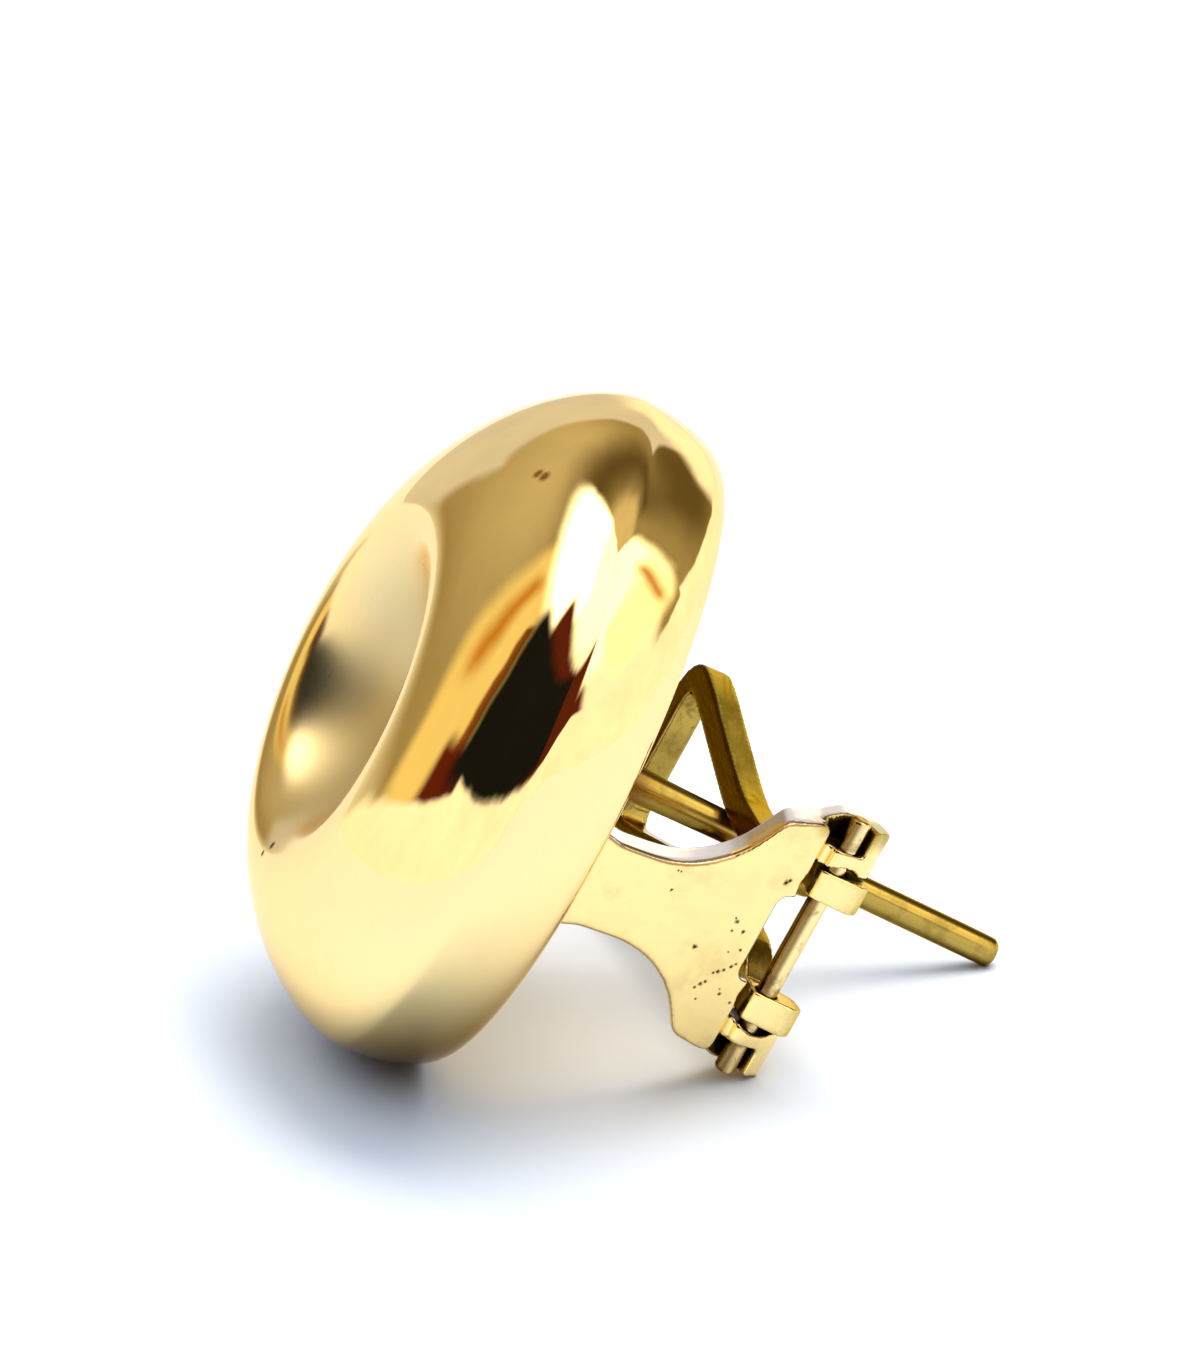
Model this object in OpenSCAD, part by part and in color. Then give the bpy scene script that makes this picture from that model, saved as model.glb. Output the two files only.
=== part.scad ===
// Round puffed button earring with an off-centre dish, a straight ear post and a hinged omega clip.
// It is drawn in the earring's own directions, with x along the hinge pin, y backwards from the
// flat back of the button and z towards the top as worn, and is then laid down on its side.

/* [Button] */
// Outside diameter of the round button
button_d = 19; // [18:0.5:21]
// Height of the front ridge above the flat back, at the middle
button_deep = 6.2; // [5.8:0.1:6.8]
// Slope of the front, thicker towards the top as worn, in degrees
front_slope = 8; // [4:1:10]
// Height of the widest place above the flat back
widest_h = 2.5; // [2:0.1:3]
// Width of the rounding between the side and the flat back
back_round = 1; // [0.8:0.1:1.2]
// Fullness of the flank, where 2 is a quarter of an ellipse and less is leaner
flank_power = 1.7; // [1.6:0.1:2.2]
// Thickness of the formed metal
wall = 0.5; // [0.4:0.05:0.6]

/* [Dish] */
// Diameter of the ridge round the dish
dish_d = 10.2; // [9:0.2:11]
// Distance of the dish from the middle along the hinge
dish_x = -1; // [-1.4:0.1:1.4]
// Distance of the dish above the middle as worn
dish_z = 0.8; // [-1:0.1:1]
// Depth of the dish below its ridge
dish_deep = 2; // [1:0.1:2.4]
// Width of the rounding from the ridge into the dish
ridge_round = 1.3; // [0.9:0.1:2]

/* [Back plate and post] */
// Thickness of the back plate
plate_t = 0.7; // [0.6:0.05:0.8]
// Width of the shell's lip round the back plate
lip_w = 0.3; // [0.25:0.05:0.5]
// Distance of the clip and the post from the middle along the hinge
clip_x = -0.8; // [-1.2:0.05:0]
// Height of the post above the middle as worn
post_z = 3.35; // [3:0.05:3.6]
// Diameter of the post
post_d = 0.86; // [0.8:0.02:0.9]
// Length of the post behind the back plate
post_l = 13.7; // [10:0.1:14.5]
// Diameter of the thicker foot of the post
foot_d = 1.16; // [1:0.04:1.6]
// Height of the straight part of the foot
foot_h = 2.2; // [1:0.1:2.4]
// Diameter of the post just behind its foot, from where it is drawn down a hair
shank_d = 0.874; // [0.86:0.002:0.9]
// Distance behind the back plate from which the post's free end is straight
straight_y = 8.9; // [8.5:0.1:9.5]

/* [Clip bracket] */
// Thickness of the bracket
bracket_t = 1.25; // [1:0.05:1.4]
// Bend radius of the bracket's outer face
bracket_bend_r = 26; // [22:1:32]
// Angle of the bracket to the post at its neck
neck_angle = 14.5; // [13:0.5:16]
// Distance of the bracket's outer face below the middle, at its neck
neck_z = 7; // [6.8:0.1:7.2]
// Half the width of the bracket at its waist
waist_w = 1.26; // [1.2:0.02:1.5]
// Radius of the hollow sides of the bracket
side_r = 3; // [2.8:0.1:3.2]
// Distance of the bracket's rear edge behind the back plate
rear_y = 5.6; // [5.5:0.05:5.65]
// Half the distance over the two ears
ear_span = 3.8; // [3.75:0.05:4]
// Angle of the ears to the post
ear_tilt = 28; // [26:1:30]

/* [Hinge] */
// Distance of the pin behind the back plate
pin_y = 6.68; // [6.66:0.02:6.8]
// Distance of the pin below the middle
pin_z = 4.17; // [4.1:0.01:4.25]
// Diameter of the pin
pin_d = 0.58; // [0.5:0.02:0.6]
// Radial play of the loop on the pin
pin_play = 0.02; // [0.02:0.01:0.04]

/* [Clip loop] */
// Side of the square wire
wire = 0.86; // [0.8:0.02:0.9]
// Half the distance between the centres of the two feet
loop_foot_x = 1.9; // [1.85:0.05:1.95]
// Lean of the closed loop towards the button, in degrees
loop_lean = 10; // [7:0.2:10.6]
// Lean of the loop to one side, along the hinge, in degrees
loop_skew = 2.5; // [0:0.5:3]

/* [Lying on its side] */
// Turn about the hinge's direction, from worn to lying
lie_x = -90.6; // [-95:0.01:-85]
// Turn about the level direction from front to back
lie_y = -60.7; // [-65:0.01:-55]
// Turn about the upright
lie_z = 4; // [-180:0.01:180]

/* [Hidden] */
gold = [0.86, 0.68, 0.32];
old_gold = [0.72, 0.56, 0.26];
around = 72;
dish_rings = 9;
flank_rings = 14;
back_rings = 5;
inner_step = 2;
button_r = button_d / 2;
dish_r = dish_d / 2;
mouth_r = button_r - back_round - lip_w;
seam = 0.03;
press_gap = 0.01;
side_gap = 0.07;
overlap = 0.2;
pin_out = 0.12;
pocket_x = 1.75;
pocket_r = 0.85;
slot_from = 3;
ear_in = loop_foot_x + wire / 2 + side_gap;
tip_r = 0.28;
foot_taper = 0.7;
bend_centre = [-bracket_bend_r * sin(neck_angle), bracket_bend_r * cos(neck_angle) - neck_z];

// Half of the loop's centre line, seen square to it: [height above the pin, half width]
loop_half = [
    [0.2, loop_foot_x],
    [0.9, 1.84],
    [2, 1.25],
    [3.4, 1.08],
    [5.5, 1.1],
    [7.3, 1.25],
    [10.4, 1.9],
    [12.6, 2.38],
    [13.7, 2.45],
    [14.2, 1.85],
    [14.25, 0.9],
];

// Half of the bracket's plan: [across, behind the back plate, corner radius]
bracket_plan = [
    [0, -overlap, 0],
    [waist_w + 0.3, -overlap, 0],
    [waist_w, 0.8, 0.8],
    [waist_w, 3.5, side_r],
    [3.35, 4.75, 0.5],
    [3.5, 6, 0.2],
    [1.3, 6, 0],
    [1.3, rear_y, 0.3],
    [0, rear_y, 0],
];

// Side view of an ear, along the bracket's face from the pin: [backwards, upwards, corner radius]
ear_side = [
    [-1.5, 0, 0],
    [-0.56, 0, 0.1],
    [-0.5, -0.42, 0.3],
    [0.45, -0.42, 0.2],
    [1.02, -0.2, 0.15],
    [0.95, 1.15, 0.3],
    [-1.5, 1.22, 0],
];

// Side view of the slot that bares the pin's end: [backwards, upwards, corner radius]
ear_slot = [
    [-1.15, -1, 0],
    [-1.05, 0.4, 0.25],
    [-0.6, 0.45, 0.1],
    [0.36, 0.4, 0.2],
    [0.36, -1, 0],
];

// Half of the plan of the ears: [across, backwards from the pin, corner radius]
ear_plan = [
    [ear_in, -1.6, 0],
    [3.4, -1.6, 0],
    [3.5, -1, 0.2],
    [ear_span, -0.4, 0.3],
    [ear_span, 0.9, 0.1],
    [3.35, 1.3, 0.2],
    [ear_in, 1.3, 0.15],
];

// Side view of a foot of the loop, from the pin: [backwards, upwards, corner radius]
foot_side = [
    [-0.47, -0.42, 0.35],
    [0.8, -0.42, 0.1],
    [1.08, -0.1, 0.15],
    [0.9, 0.45, 0.2],
    [0.43, 0.6, 0.1],
    [-0.47, 0.6, 0],
];

// Height of the front above the back plate, at z
function front_h(z) = button_deep + tan(front_slope) * z;
function rim_at(t) = [dish_x + dish_r * cos(t), dish_z + dish_r * sin(t)];
function edge_at(t, w) = (button_r - w) * [cos(t), sin(t)];

// Drop into the dish at s inwards from its ridge, steepest at the end of the rounding
function dish_drop(s) = let (steep = 2 * dish_deep / dish_r)
    s < ridge_round ? steep * s ^ 2 / (2 * ridge_round)
                    : dish_deep - steep * (dish_r - s) ^ 2 / (2 * (dish_r - ridge_round));

// Points of the wall, w under its outer face, on the ray t
function dish_point(s, w, t) = let (q = [dish_x, dish_z] + (dish_r - s) * [cos(t), sin(t)])
    [q[0], dish_drop(s) + w - front_h(q[1]), q[1]];
function flank_point(a, w, t) = let (
        k = 2 / flank_power,
        f = sin(a) ^ k,
        q = (1 - f) * rim_at(t) + f * edge_at(t, w))
    [q[0], -widest_h - (front_h(q[1]) - w - widest_h) * cos(a) ^ k, q[1]];
function back_point(a, w, end_r, end_h, t) = let (r = end_r + (button_r - w - end_r) * cos(a))
    [r * cos(t), -end_h - (widest_h - end_h) * (1 - sin(a)), r * sin(t)];

function ray(i) = 360 * i / around;
function dish_ring(s, w) = [for (i = [0:around - 1]) dish_point(s, w, ray(i))];
function flank_ring(a, w) = [for (i = [0:around - 1]) flank_point(a, w, ray(i))];
function back_ring(a, w, r, h) = [for (i = [0:around - 1]) back_point(a, w, r, h, ray(i))];

// Rings from the middle of the dish over the ridge and the flank to the mouth in the back
function wall_rings(w, end_r, end_h, step) = concat(
    [for (i = [dish_rings - 1:-step:1]) dish_ring(dish_r * (i / dish_rings) ^ 1.4, w)],
    [for (i = [0:step:flank_rings]) flank_ring(90 * i / flank_rings, w)],
    [for (i = [1:back_rings]) back_ring(90 * i / back_rings, w, end_r, end_h)]);

function reversed(list) = [for (i = [len(list) - 1:-1:0]) list[i]];
function joined(lists) = [for (l = lists) each l];

// Corners of a polygon, rounded, from a table of [x, y, radius]
function corner(a, b, c) = let (
        u = (a - b) / norm(a - b),
        v = (c - b) / norm(c - b),
        half = acos(u * v) / 2,
        mid = (u + v) / norm(u + v),
        turn = u[0] * v[1] - u[1] * v[0] > 0 ? 1 : -1,
        start = atan2(-mid[1], -mid[0]) + turn * (90 - half))
    function (r) r == 0 ? [b] : let (o = b + mid * r / sin(half))
        [for (i = [0:6]) let (g = start - turn * (90 - half) * i / 3) o + r * [cos(g), sin(g)]];
function xy(p) = [p[0], p[1]];
function rounded(table) = let (n = len(table)) joined(
    [for (i = [0:n - 1])
        corner(xy(table[(i + n - 1) % n]), xy(table[i]), xy(table[(i + 1) % n]))(table[i][2])]);

// A closed plan from the table of its right half, whose first and last points are on the middle line
function mirrored(points) = concat(points, [for (p = reversed(points)) [-p[0], p[1]]]);

// Smooth curve through the points of a list, with the same number of steps in each span
function blend(a, b, c, d, u) = 0.5 * (2 * b + (c - a) * u + (2 * a - 5 * b + 4 * c - d) * u ^ 2
    + (3 * b - a - 3 * c + d) * u ^ 3);
function curve(list, steps) = let (n = len(list)) concat(
    [for (i = [0:n - 2], j = [0:steps - 1])
        blend(list[max(i - 1, 0)], list[i], list[i + 1], list[min(i + 2, n - 1)], j / steps)],
    [list[n - 1]]);

// Both edges of a flat band of width w along a line of points
function side_line(line, w) = let (n = len(line))
    [for (i = [0:n - 1]) let (d = line[min(i + 1, n - 1)] - line[max(i - 1, 0)])
        line[i] + w * [-d[1], d[0]] / norm(d)];
function band(line, w) = concat(side_line(line, w / 2), reversed(side_line(line, -w / 2)));

// Outline of the loop's wire, seen square to it and leaning to one side
loop_line = [for (p = curve(mirrored([for (r = loop_half) [r[1], r[0]]]), 6)) [p[0] - tan(loop_skew) * p[1], p[1]]];
loop_band = band(loop_line, wire);

// Rounded end of the post: [radius, behind the back plate]
post_tip = [for (i = [0:6]) [post_d / 2, post_l] + tip_r * [cos(15 * i) - 1, sin(15 * i) - 1]];

// Places that can be the outermost ones of the earring as it lies
function on_loop(p, d) = [
    clip_x + p[0],
    pin_y - p[1] * sin(loop_lean) + d * cos(loop_lean),
    p[1] * cos(loop_lean) + d * sin(loop_lean) - pin_z];
marks = concat(
    joined(wall_rings(0, button_r - back_round, 0, 1)),
    [for (q = post_tip, g = [0:15:345]) [clip_x + q[0] * cos(g), q[1], post_z + q[0] * sin(g)]],
    [for (p = loop_band, d = [-wire / 2, wire / 2]) on_loop(p, d)]);

// Turns of a point about x, y and z, as rotate does them
function about_x(p, a) = [p[0], p[1] * cos(a) - p[2] * sin(a), p[1] * sin(a) + p[2] * cos(a)];
function about_y(p, a) = [p[0] * cos(a) + p[2] * sin(a), p[1], p[2] * cos(a) - p[0] * sin(a)];
function about_z(p, a) = [p[0] * cos(a) - p[1] * sin(a), p[0] * sin(a) + p[1] * cos(a), p[2]];
laid = [for (p = marks) about_z(about_y(about_x(p, lie_x), lie_y), lie_z)];
low = [for (k = [0:2]) min([for (p = laid) p[k]])];
high = [for (k = [0:2]) max([for (p = laid) p[k]])];
home = [-(low[0] + high[0]) / 2, -(low[1] + high[1]) / 2, -low[2]];

// A closed skin over rings of equal count, with a point in the middle at each end
module skin(first, rings, last) {
    n = around;
    count = len(rings);
    points = concat([first], joined(rings), [last]);
    end = len(points) - 1;
    caps = [for (i = [0:n - 1]) let (j = (i + 1) % n) each
        [[0, 1 + j, 1 + i], [end, 1 + (count - 1) * n + i, 1 + (count - 1) * n + j]]];
    sides = [for (r = [0:count - 2], i = [0:n - 1]) let (j = (i + 1) % n, a = 1 + r * n, b = a + n) each
        [[a + i, b + j, b + i], [a + i, a + j, b + j]]];
    polyhedron(points = points, faces = concat(caps, sides));
}

// Lays what is drawn in the earring's own directions on its side, on the ground
module lying() {
    translate(home) rotate([lie_x, lie_y, lie_z]) children();
}

// Puts children along the hinge, with their own z along the pin
module on_hinge(from) {
    translate([clip_x + from, pin_y, -pin_z]) rotate([0, 90, 0]) children();
}

// Prism along the hinge from a side view in [y, z], between two distances from the clip's middle
module across(from, to) {
    translate([clip_x + from, 0, 0]) rotate([90, 0, 90]) linear_extrude(to - from) children();
}

module button_shell() {
    outer = wall_rings(0, button_r - back_round, 0, 1);
    mouth = back_ring(90, 0, mouth_r, 0);
    inner = wall_rings(wall, mouth_r, plate_t, inner_step);
    color(gold) lying()
        skin(dish_point(dish_r, 0, 0), concat(outer, [mouth], reversed(inner)), dish_point(dish_r, wall, 0));
}

module post() {
    foot = [[0, -overlap], [foot_d / 2, -overlap], [foot_d / 2, foot_h], [shank_d / 2, foot_h + foot_taper],
        [post_d / 2, straight_y]];
    translate([clip_x, 0, post_z]) rotate([-90, 0, 0])
        rotate_extrude($fn = 48) polygon(concat(foot, post_tip, [[0, post_l]]));
}

// Side view of the bent strip that the bracket is cut from
module bent_strip() {
    difference() {
        translate(bend_centre) circle(bracket_bend_r, $fn = 180);
        translate(bend_centre) circle(bracket_bend_r - bracket_t, $fn = 180);
    }
}

module bracket() {
    intersection() {
        across(-ear_span, ear_span) intersection() {
            bent_strip();
            translate([-overlap, -neck_z - bracket_t]) square([pin_y, neck_z + bracket_t]);
        }
        translate([clip_x, 0, -neck_z - bracket_t]) linear_extrude(neck_z)
            polygon(mirrored(rounded(bracket_plan)));
    }
}

// Side view in the ears' own directions, along the face and square to it
module at_ears() {
    translate([pin_y, -pin_z]) rotate(ear_tilt) children();
}

module right_ear() {
    intersection() {
        difference() {
            across(ear_in, ear_span) at_ears() polygon(rounded(ear_side));
            across(slot_from, ear_span + 1) at_ears() polygon(rounded(ear_slot));
        }
        translate([clip_x, pin_y, -pin_z - 2]) linear_extrude(4) polygon(rounded(ear_plan));
    }
}

// Draws children and their mirror image on the other side of the clip's middle
module both_sides() {
    children();
    translate([2 * clip_x, 0, 0]) mirror([1, 0, 0]) children();
}

module clip_back() {
    color(gold) lying() difference() {
        union() {
            rotate([90, 0, 0]) cylinder(r = mouth_r - seam, h = plate_t, $fn = 120);
            post();
            bracket();
            both_sides() right_ear();
        }
        on_hinge(-ear_span - 1) cylinder(d = pin_d + 2 * press_gap, h = 2 * ear_span + 2, $fn = 32);
        both_sides() translate([clip_x + pocket_x, pin_y, -pin_z]) rotate([ear_tilt, 0, 0])
            cylinder(r = pocket_r, h = 4, center = true, $fn = 48);
    }
}

module hinge_pin() {
    color(old_gold) lying() on_hinge(-ear_span - pin_out)
        cylinder(d = pin_d, h = 2 * (ear_span + pin_out), $fn = 32);
}

module clip_loop() {
    color(old_gold) lying() difference() {
        union() {
            translate([clip_x, pin_y, -pin_z]) rotate([90 + loop_lean, 0, 0])
                translate([0, 0, -wire / 2]) linear_extrude(wire) polygon(loop_band);
            both_sides() across(loop_foot_x - wire / 2, loop_foot_x + wire / 2)
                translate([pin_y, -pin_z]) polygon(rounded(foot_side));
        }
        on_hinge(-ear_in) cylinder(d = pin_d + 2 * pin_play, h = 2 * ear_in, $fn = 32);
    }
}

button_shell();
clip_back();
hinge_pin();
clip_loop();
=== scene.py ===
"""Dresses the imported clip-on earring: a polished gold button with a dish, its back, post, pin and clip loop.

Pieces are shaped in millimetres in the earring's own directions, with x along the hinge pin, y backwards
from the flat back and z towards the top as worn. They are then laid on their side in the frame's metres.
"""

import math
from functools import partial

import bmesh
import bpy
from bpy.props import FloatProperty, FloatVectorProperty, PointerProperty
from bpy.types import Operator, Panel, PropertyGroup
from mathutils import Euler, Matrix, Vector
from mathutils.bvhtree import BVHTree


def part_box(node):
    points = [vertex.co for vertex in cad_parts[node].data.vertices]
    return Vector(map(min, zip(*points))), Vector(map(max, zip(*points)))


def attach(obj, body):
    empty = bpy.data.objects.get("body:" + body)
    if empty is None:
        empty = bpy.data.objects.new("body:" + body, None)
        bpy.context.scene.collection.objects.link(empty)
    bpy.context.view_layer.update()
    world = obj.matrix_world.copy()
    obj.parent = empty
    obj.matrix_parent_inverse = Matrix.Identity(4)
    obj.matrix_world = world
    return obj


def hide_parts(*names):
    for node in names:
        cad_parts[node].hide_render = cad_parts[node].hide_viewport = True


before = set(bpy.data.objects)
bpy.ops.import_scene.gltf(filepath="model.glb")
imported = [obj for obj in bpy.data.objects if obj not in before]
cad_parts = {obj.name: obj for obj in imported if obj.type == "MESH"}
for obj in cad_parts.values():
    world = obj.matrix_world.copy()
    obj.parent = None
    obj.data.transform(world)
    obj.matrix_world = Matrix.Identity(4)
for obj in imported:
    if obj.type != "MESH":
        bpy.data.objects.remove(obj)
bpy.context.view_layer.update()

bl_info = {
    "name": "Clip-on earring",
    "version": (1, 0, 0),
    "blender": (4, 5, 0),
    "location": "3D View > Sidebar > Earring",
    "description": "Dresses the packed clip-on earring in polished and worn gold",
    "category": "Object",
}

MM = 0.001
QUARTER = math.pi / 2

# How the earring lies: its turns about x, y and z in degrees, and the middle of its hinge pin in millimetres
LIE_TURNS = (-90.6, -60.7, 4.0)
HINGE_PLACE = Vector((-0.8, 6.68, -4.17))

# Fineness of the skins
AROUND = 128                # points round the button and the plate
POST_AROUND = 32            # points round the post and the pin
OUTER_STEPS = (18, 22, 9)   # circles in the outer skin of the dish, the flank and the rounding at the back
INNER_STEPS = (5, 7, 3)     # the same for the inner skin
DISH_CROWDING = 1.4         # power by which the dish's circles crowd towards its ridge
CURVE_STEPS = 4             # steps in a quarter turn of a small rounding
CAST_STEPS = 10             # rounds of smoothing for the cast bracket
STRIP_STEPS = 70            # further rounds for the bracket near the plate
DRAWN_STEPS = 20            # rounds of smoothing for the loop's wire
DRAWN_GRAIN = 0.8           # size of the loop's small faces as a share of the casting grain
CREASE = 40                 # degrees from which an edge stays sharp

# Small lengths in millimetres
NEAR = 0.01                 # gap at which two places still count as one
MERGE = 0.002               # gap at which loose points are merged
LIP_EDGE = 0.04             # broken outer edge of the shell's lip
SINK = 0.1                  # depth by which the post starts inside the plate
BRACKET_SINK = 0.25         # depth by which the bracket starts inside the plate
PIN_END_ROUND = 0.12        # rounding of the pin's ends
STRIP_END = 5.5             # distance behind the plate where that further smoothing ends
STRIP_FADE = 0.5            # length over which it fades out
HOLLOW_LIFT = 0.02          # height above the skin at which a ray starts
BRACKET_REACH = 1.6         # length of the rays from the bracket
LOOP_REACH = 1.2            # length of the rays from the loop

# Rays that measure how deep in a hollow a point lies
HOLLOW_RAYS = 14            # number of rays from a point
FIRST_RAY = 0.8             # steps by which the first ray leans away from the normal
SPARE_RAYS = 2              # steps left out along the skin
GOLDEN_TURN = 2.4           # radians between one ray and the next, for an even spread


def laid_matrix():
    """From millimetres in the earring's own directions to the frame, where the pin's middle ties the two."""
    turn = Euler([math.radians(angle) for angle in LIE_TURNS], "XYZ").to_matrix().to_4x4()
    low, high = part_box("hinge_pin")
    to_pin = Matrix.Translation((low + high) / 2)
    return to_pin @ turn @ Matrix.Scale(MM, 4) @ Matrix.Translation(-HINGE_PLACE)


LAID = laid_matrix()
FLOORWARDS = LAID.inverted().to_3x3().normalized() @ Vector((0, 0, -1))


def length(name, text, default_mm):
    """A length property with its default given in millimetres."""
    return FloatProperty(name=name, description=text, default=default_mm * MM, unit="LENGTH", precision=5)


def colour(name, text, default):
    """A colour property with an opaque default."""
    return FloatVectorProperty(name=name, description=text, default=(*default, 1), size=4, subtype="COLOR",
                               min=0, max=1)


def share(name, text, default, high):
    """A plain number between zero and high."""
    return FloatProperty(name=name, description=text, default=default, min=0, max=high)


class ButtonSizes(PropertyGroup):
    """Sizes of the formed button."""

    radius: length("Radius", "Half the outside diameter of the button", 9.5)
    deep: length("Depth", "Height of the front ridge above the flat back, at the middle", 6.2)
    slope: FloatProperty(name="Front slope", description="Slope of the front, thickest at the top as worn",
                         default=math.radians(8), subtype="ANGLE")
    widest: length("Widest place", "Height of the widest place above the flat back", 2.5)
    back_round: length("Back rounding", "Width of the rounding between the side and the flat back", 1)
    fullness: share("Flank fullness", "Power of the flank's curve, 2 for a quarter of an ellipse", 1.7, 3)
    wall: length("Wall", "Thickness of the formed metal", 0.5)
    dish_radius: length("Dish radius", "Half the diameter of the ridge round the dish", 5.1)
    dish_x: length("Dish along the hinge", "Distance of the dish from the middle along the hinge", -1)
    dish_z: length("Dish height", "Distance of the dish above the middle as worn", 0.8)
    dish_deep: length("Dish depth", "Depth of the dish below its ridge", 2)
    ridge_round: length("Ridge rounding", "Width of the rounding from the ridge into the dish", 1.3)


class BackSizes(PropertyGroup):
    """Sizes of the back plate, the post and the pin."""

    plate: length("Back plate", "Thickness of the back plate", 0.7)
    lip: length("Lip", "Width of the shell's lip round the back plate", 0.3)
    seam: length("Seam", "Width of the hairline round the back plate", 0.03)
    edge_break: length("Edge break", "Width of the plate's broken edge", 0.05)
    hub: length("Hub", "Radius of the smallest ring in the plate's skin", 0.4)
    post_z: length("Post height", "Height of the post above the middle as worn", 3.35)
    post_radius: length("Post radius", "Radius of the straight end of the post", 0.43)
    shank_radius: length("Shank radius", "Radius of the post just behind its foot", 0.437)
    straight: length("Straight end", "Distance behind the plate from which the post is straight", 8.9)
    tip_round: length("Tip rounding", "Radius of the rounding of the post's tip", 0.28)
    foot_fillet: length("Foot fillet", "Radius of the solder round the post's foot", 0.22)
    foot_taper: length("Foot taper", "Length of the cone from the foot to the shank", 0.7)
    post_length: length("Post length", "Length of the post behind the back plate", 13.7)
    foot_radius: length("Foot radius", "Radius of the thicker foot of the post", 0.58)
    foot_height: length("Foot height", "Height of the straight part of the foot", 2.2)
    pin_radius: length("Pin radius", "Radius of the hinge pin", 0.29)
    pin_half: length("Half pin", "Half the length of the hinge pin", 3.92)
    grain: length("Casting grain", "Size of the small faces in which the cast back is rounded", 0.05)


class GoldColours(PropertyGroup):
    """Colours of the gold, of what lies on it, and of the light and shade painted on it."""

    mirror: colour("Polished gold", "Gold of the button and the pin", (1, 0.75, 0.34))
    dish: colour("Gold in the dish", "Softer gold in the hollow of the dish", (0.64, 0.5, 0.25))
    # Painted shade, not a colour of the gold: it darkens the button's side towards the floor and the pin's
    # side towards the button
    under: colour("Underside", "Brown gold of the sides turned away from the light", (0.13, 0.065, 0.01))
    pale: colour("Cast gold", "Gold of the bracket and the back", (0.97, 0.75, 0.31))
    # Partly the wire's own olive tone, and partly painted shade: darkened for the dark room that the wire
    # mirrors
    drawn: colour("Drawn gold", "Gold of the post and the loop", (0.48, 0.33, 0.07))
    rim: colour("Slanting gold", "Tint of the drawn wire where it is seen at a slant", (0.8, 0.6, 0.33))
    warm_rim: colour("Rim gold", "Tint of the button where it is seen at a slant", (1, 0.87, 0.66))
    # The next two colours are painted light on the bracket's rounded edges, not colours of the gold: a painted
    # highlight, and the brown lines of painted shade beside it. The brown is also used round the post's foot
    edge: colour("Polished edge", "Rosy white gold of the rounded edges of the bracket", (1, 0.87, 0.74))
    border: colour("Edge border", "Brown line along a rounded edge", (0.22, 0.1, 0.03))
    tarnish: colour("Tarnish", "Orange-brown tarnish", (0.36, 0.15, 0.03))
    # The next colour is both the drawn wire's tarnish and the painted shade on its dark sides
    tarnish_and_shade_umber: colour("Umber", "Dark brown tarnish of the drawn wire", (0.038, 0.012, 0.002))
    # The next colour is both the dirt in pits and specks and the painted shade in the hollows of the bracket
    # and the loop
    dirt_and_shade: colour("Dirt", "Dark dirt in pits and corners", (0.05, 0.025, 0.01))


class StageSizes(PropertyGroup):
    """Camera, floor and light."""

    lens: FloatProperty(name="Lens", description="Focal length of the camera", default=198.146, unit="CAMERA")
    floor: length("Floor", "Half the side of the floor", 3000)
    paper: colour("Paper", "Pale grey of the floor", (0.9, 0.9, 0.9))
    white: share("Backdrop", "Brightness of the white backdrop that the gold mirrors", 1.25, 4)
    fill: share("Fill light", "Brightness of the even light on the floor", 1.1, 4)
    key: share("Key light", "Brightness of the large soft light from above", 7.0, 12)


def clear_selection():
    """Leaves object mode with nothing selected."""
    if bpy.context.object and bpy.context.object.mode != "OBJECT":
        bpy.ops.object.mode_set(mode="OBJECT")
    bpy.ops.object.select_all(action="DESELECT")


def make_active(piece):
    """Selects one piece alone."""
    clear_selection()
    piece.select_set(True)
    bpy.context.view_layer.objects.active = piece


def named(name):
    """The object that a primitive operator has just added, renamed."""
    piece = bpy.context.object
    piece.name = piece.data.name = name
    return piece


def select_where(piece, kind, test):
    """In edit mode, selects the vertices, edges or faces whose middle passes the test."""
    bpy.ops.mesh.select_mode(type=kind)
    bpy.ops.mesh.select_all(action="DESELECT")
    mesh = bmesh.from_edit_mesh(piece.data)
    group = {"VERT": mesh.verts, "EDGE": mesh.edges, "FACE": mesh.faces}[kind]
    for part in group:
        if kind == "VERT":
            middle = part.co
        elif kind == "EDGE":
            middle = (part.verts[0].co + part.verts[1].co) / 2
        else:
            middle = part.calc_center_median()
        if test(middle):
            part.select_set(True)
    mesh.select_flush_mode()
    bmesh.update_edit_mesh(piece.data)


def close_circle():
    """Closes the selected circle with a fan of faces."""
    bpy.ops.mesh.edge_face_add()
    bpy.ops.mesh.poke()


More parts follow.
